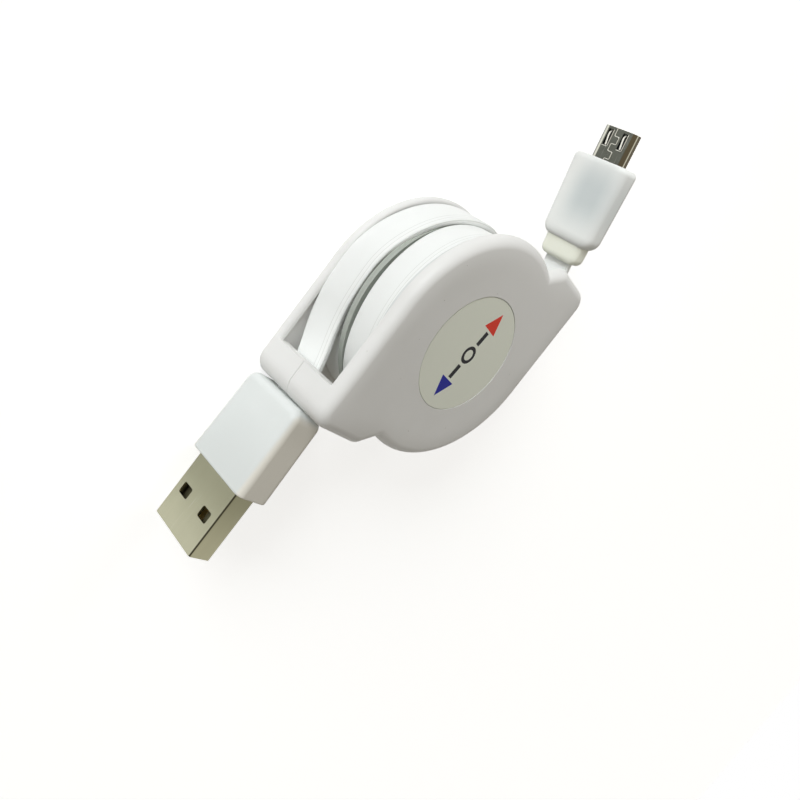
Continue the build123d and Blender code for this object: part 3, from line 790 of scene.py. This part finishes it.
device_points = [on_plan(start_radius, -74, front_level), on_plan(17.9, -44, front_level)]
device_points += [on_plan(18.4, -14, front_level), on_plan(18.95, 16, 12.5), on_plan(19.3, 46, 12.4)]
device_points += [on_plan(18.9, 76, 12.5), on_plan(18.7, 106, front_level), on_plan(19.15, 136, 12.5)]
device_points += [on_plan(19.25, angle, 12.5) for angle in (166, 196, 226, 256)]
device_points += [Vector(p) for p in ((7.6, -17.75, 12.55), (15.2, -16.67, 12.3))]
device_gate = Vector((23.4, -15.508, 12.0))
device_points += [device_gate, device_back / MM, device_back / MM + into_plug * device_out]
device_leans = [0] * len(device_points)
print("control points:", len(host_points), len(device_points))

# %% [markdown]
# When a plug is pulled, more ribbon comes off the spool. Each ribbon is therefore two pieces, cut
# before its gate, the last point inside the post. The turn stays with the housing. The neck is a
# piece of its own. A spline of order 3 can be cut halfway between two control points without a change
# of its shape, because it touches the line between them there.

# %% Sweep the ribbons
ribbon_sizes = {
    "Width": 5.65 * MM, "Thickness": 1.2 * MM, "Edge Round": 0.35 * MM, "Material": ribbon_white,
}
after_gate = 3


def ribbon_piece(name, points, leans, node):
    line = line_object(name, [[p * MM for p in points]], "NURBS", leans)
    piece = made_by(flat_band, line, name, ribbon_sizes)
    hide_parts(node)
    return piece


def ribbon(name, points, leans, node):
    """A ribbon's turn, which stays with the housing, and its neck, a piece of its own."""
    before, after = points[:-after_gate], points[-after_gate:]
    cut = (before[-1] + after[0]) / 2
    cut_lean = (leans[-after_gate - 1] + leans[-after_gate]) / 2
    turn = ribbon_piece(name + "_turn", before + [cut], leans[:-after_gate] + [cut_lean], node)
    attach(turn, "housing")
    neck = ribbon_piece(name + "_neck", [cut] + after, [cut_lean] + leans[-after_gate:], node)
    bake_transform(neck)


ribbon("host_ribbon", host_points, host_leans, "cable_lead_host")
ribbon(
    "device_ribbon", device_points, device_leans, "cable_lead_device",
)

# %% [markdown]
# ### The turns on the spool
#
# Under the outermost turn each ribbon is wound on the spool. A spiral follows a rule, so Geometry
# Nodes have a node for it, and the band tree above sweeps it. The two windings turn with the reel.

# %% Wind the spool
def winding_tree():
    """A flat spiral at a height, swept into a band."""
    names = ("Inner Radius", "Outer Radius", "Turns", "Height", "Width", "Thickness", "Edge Round")
    tree, given = geometry_tree("wound_band", names, takes_curve=False)
    radii = {"Start Radius": given["Inner Radius"], "End Radius": given["Outer Radius"]}
    spiral = {"Resolution": 64, "Rotations": given["Turns"], "Height": 0.0, **radii}
    spiral = tree.add("GeometryNodeCurveSpiral", inputs=spiral)
    lift = tree.add("ShaderNodeCombineXYZ", inputs={"Z": given["Height"]})
    raised = tree.add("GeometryNodeTransform", inputs={"Geometry": spiral, "Translation": lift})
    shared = {name: given[name] for name in ("Width", "Thickness", "Edge Round", "Material")}
    band = tree.add("GeometryNodeGroup", {"node_tree": flat_band}, {"Curve": raised, **shared})
    return end_tree(tree, band, given["Material"])


wound_band = winding_tree()
wound_width, wound_thick, wound_round = 5.6, 1.12, 0.3
hub_radius, roll_radius = 14.67, 16.6
wound_inner, wound_outer = hub_radius + wound_thick / 2, roll_radius - wound_thick / 2
wound_turns = 0.72
wound_levels = {"cable_winding_rear": 4.825, "cable_winding_front": 12.275}
for name, height in wound_levels.items():
    values = {
        "Inner Radius": wound_inner * MM, "Outer Radius": wound_outer * MM, "Turns": wound_turns,
        "Height": height * MM, "Width": wound_width * MM, "Thickness": wound_thick * MM,
        "Edge Round": wound_round * MM, "Material": ribbon_white,
    }
    holder_mesh = bpy.data.meshes.new(name + "_holder")
    holder = bpy.data.objects.new(name + "_holder", holder_mesh)
    scene.collection.objects.link(holder)
    winding = made_by(wound_band, holder, name.replace("cable", "ribbon"), values)
    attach(winding, "reel")
    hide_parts(name)

# %% [markdown]
# ## Lips of the small plug's shell
#
# The small shell is folded from one sheet, and its ends hook into each other like pieces of a
# jigsaw. A punched edge has a thin lip, which catches the light along the seam and on two sides of
# each latch slot. Each lip is a fine round bead along a line with rounded corners; its light steel,
# far brighter than the shell, is a painted highlight.

# %% Make the lips
shell_tip, shell_face = 24.2, 0.9
seam_pitch, seam_swing, seam_steps = 1.29, 0.52, 4
slot_pitch, slot_width, slot_length, slot_from_tip = 3.1, 1.1, 2.9, 0.45
lip_shift = 0.06
bead_radius, bead_corner, bead_sides = 0.065, 0.2, 8


def lip_tree():
    """A round bead along a line, with its corners rounded."""
    tree, given = geometry_tree("lip_bead", ("Bead Radius", "Corner Round"))
    corners = {"Curve": given["Curve"], "Radius": given["Corner Round"], "Count": fillet_steps}
    corners["Limit Radius"] = True
    line = tree.add("GeometryNodeFilletCurve", {"mode": "POLY"}, corners)
    ring = {"Resolution": bead_sides, "Radius": given["Bead Radius"]}
    ring = tree.add("GeometryNodeCurvePrimitiveCircle", inputs=ring)
    bead = {"Curve": line, "Profile Curve": ring, "Fill Caps": True}
    return end_tree(tree, tree.add("GeometryNodeCurveToMesh", inputs=bead), given["Material"])


def on_shell(out, across):
    """A point on the small shell's broad face, in metres."""
    return device_back + (device_out * out + device_face * shell_face + device_across * across) * MM


def seam_line():
    """Corners of the jigsaw seam, from the tip back."""
    line = [on_shell(shell_tip, lip_shift - seam_swing)]
    side = -1
    for step in range(1, seam_steps + 1):
        out = shell_tip - step * seam_pitch - lip_shift
        line.append(on_shell(out, side * seam_swing + lip_shift))
        line.append(on_shell(out, -side * seam_swing + lip_shift))
        side = -side
    line.append(on_shell(out - seam_pitch / 2, side * seam_swing + lip_shift))
    return line


lines = [seam_line()]
for middle in (-slot_pitch / 2, slot_pitch / 2):
    root, tip = shell_tip - slot_from_tip - slot_length, shell_tip - slot_from_tip
    low, high = middle - slot_width / 2, middle + slot_width / 2
    lines.append([on_shell(root, low), on_shell(root, high), on_shell(tip, high)])
lip_values = {"Bead Radius": bead_radius * MM, "Corner Round": bead_corner * MM, "Material": lip_steel}
lips = made_by(lip_tree(), line_object("shell_lips", lines, "POLY"), "device_shell_lips", lip_values)
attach(lips, "device_end")

# %% [markdown]
# ## Floor and light
#
# The floor is a large pale sheet. It adds a glow for the camera and for mirrors alone, which makes it
# white and still lets the shadow of the reel show. The main light is a large soft lamp on the +Y side,
# low enough that the bands shine and the label side stays a soft grey, with a weak warm fill. A small
# soft box hangs near the small plug. Its light fades with distance, where that of a far lamp is the
# same all over, so the flat label side brightens towards that plug.

# %% Lay the floor
floor_half, floor_glow = 6.0, 0.668
floor_pale = rgb(0.86, 0.86, 0.86)


def seen_rays(tree):
    """Two links: 1 for rays from the camera, and 1 for rays from mirrors or through glass."""
    path = tree.tree.nodes.new("ShaderNodeLightPath")
    mirrored = Link(tree, path.outputs["Is Glossy Ray"]) + Link(tree, path.outputs["Is Transmission Ray"])
    return Link(tree, path.outputs["Is Camera Ray"]), mirrored


def floor_material():
    material = bpy.data.materials.new("floor_sheet")
    material.use_nodes = True
    tree = Tree(material.node_tree)
    tree.tree.nodes.clear()
    direct, mirrored = seen_rays(tree)
    sheet = tree.add("ShaderNodeBsdfDiffuse", inputs={"Color": floor_pale})
    glow = tree.add("ShaderNodeEmission", inputs={"Strength": (direct + mirrored) * floor_glow})
    both = tree.add("ShaderNodeAddShader", inputs={0: sheet, 1: glow})
    output = tree.tree.nodes.new("ShaderNodeOutputMaterial")
    tree.tree.links.new(both.socket, output.inputs["Surface"])
    return material


floor_mesh = bpy.data.meshes.new("floor")
floor_corners = [(x * floor_half, y * floor_half, 0) for x, y in ((-1, -1), (1, -1), (1, 1), (-1, 1))]
floor_mesh.from_pydata(floor_corners, [], [(0, 1, 2, 3)])
floor_mesh.materials.append(floor_material())
floor = bpy.data.objects.new("floor", floor_mesh)
scene.collection.objects.link(floor)
print("floor", 2 * floor_half, "m wide")

# %% [markdown]
# The world is white to the camera. Mirrors see it white at the horizon and a warm grey overhead, as
# in a room whose ceiling is darker than its walls, which tells the faces of the metal shells apart.

# %% Light it
fill_colour = rgb(0.234, 0.221, 0.193)
white, ceiling_colour = rgb(1, 1, 1), rgb(0.70, 0.66, 0.56)
wall_top, ceiling_from = 0.05, 0.8
key_strength, key_softness = 2.38, 32
key_heading, key_rise = 65, 12.5
key_colour = (0.96, 0.985, 1.0)
box_place, box_aim = Vector((75, 5, 80)), Vector((25, -3, 15))
box_power, box_width = 0.0095, 40


def studio_world():
    world = bpy.data.worlds.new("studio")
    world.use_nodes = True
    tree = Tree(world.node_tree)
    direct, mirrored = seen_rays(tree)
    facing = tree.add("ShaderNodeTexCoord", output="Generated")
    height = tree.add("ShaderNodeSeparateXYZ", inputs={0: facing}, output="Z")
    rise = {"Value": height, "From Min": wall_top, "From Max": ceiling_from}
    rise = tree.add("ShaderNodeMapRange", {"interpolation_type": "SMOOTHSTEP"}, rise)
    blend = {"data_type": "RGBA"}
    room = tree.add("ShaderNodeMix", blend, {0: rise, 6: white, 7: ceiling_colour}, 2)
    shown = tree.add("ShaderNodeMix", blend, {0: mirrored, 6: fill_colour, 7: room}, 2)
    shown = tree.add("ShaderNodeMix", blend, {0: direct, 6: shown, 7: white}, 2)
    tree.tree.links.new(shown.socket, tree.tree.nodes["Background"].inputs["Color"])
    return world


def hang_lamp(lamp, shines, place=(0, 0, 0)):
    """Puts a lamp in the scene at a place, shining in a direction."""
    holder = bpy.data.objects.new(lamp.name, lamp)
    holder.location = place
    holder.rotation_mode = "QUATERNION"
    holder.rotation_quaternion = shines.to_track_quat("-Z", "Y")
    scene.collection.objects.link(holder)


def soft_lamp(name, heading, rise, strength, softness, colour):
    """A far lamp, from its heading and rise in degrees, as wide in the sky as its softness."""
    lamp = bpy.data.lights.new(name, "SUN")
    lamp.angle = math.radians(softness)
    lamp.energy = strength
    lamp.color = colour
    towards = on_plan(math.cos(math.radians(rise)), heading, math.sin(math.radians(rise)))
    hang_lamp(lamp, -towards)


def soft_box(name, place, aim, power, width):
    """A round lamp close to the part, from its place and what it points at, in mm."""
    lamp = bpy.data.lights.new(name, "AREA")
    lamp.shape = "DISK"
    lamp.size = width * MM
    lamp.energy = power
    hang_lamp(lamp, aim - place, place * MM)


scene.world = studio_world()
soft_lamp("key", key_heading, key_rise, key_strength, key_softness, key_colour)
soft_box("soft_box", box_place, box_aim, box_power, box_width)
print("key lamp rises", key_rise, "degrees, at", key_heading, "degrees from X")
print("soft box", round((box_place - box_aim).length), "mm from what it points at")

# %% [markdown]
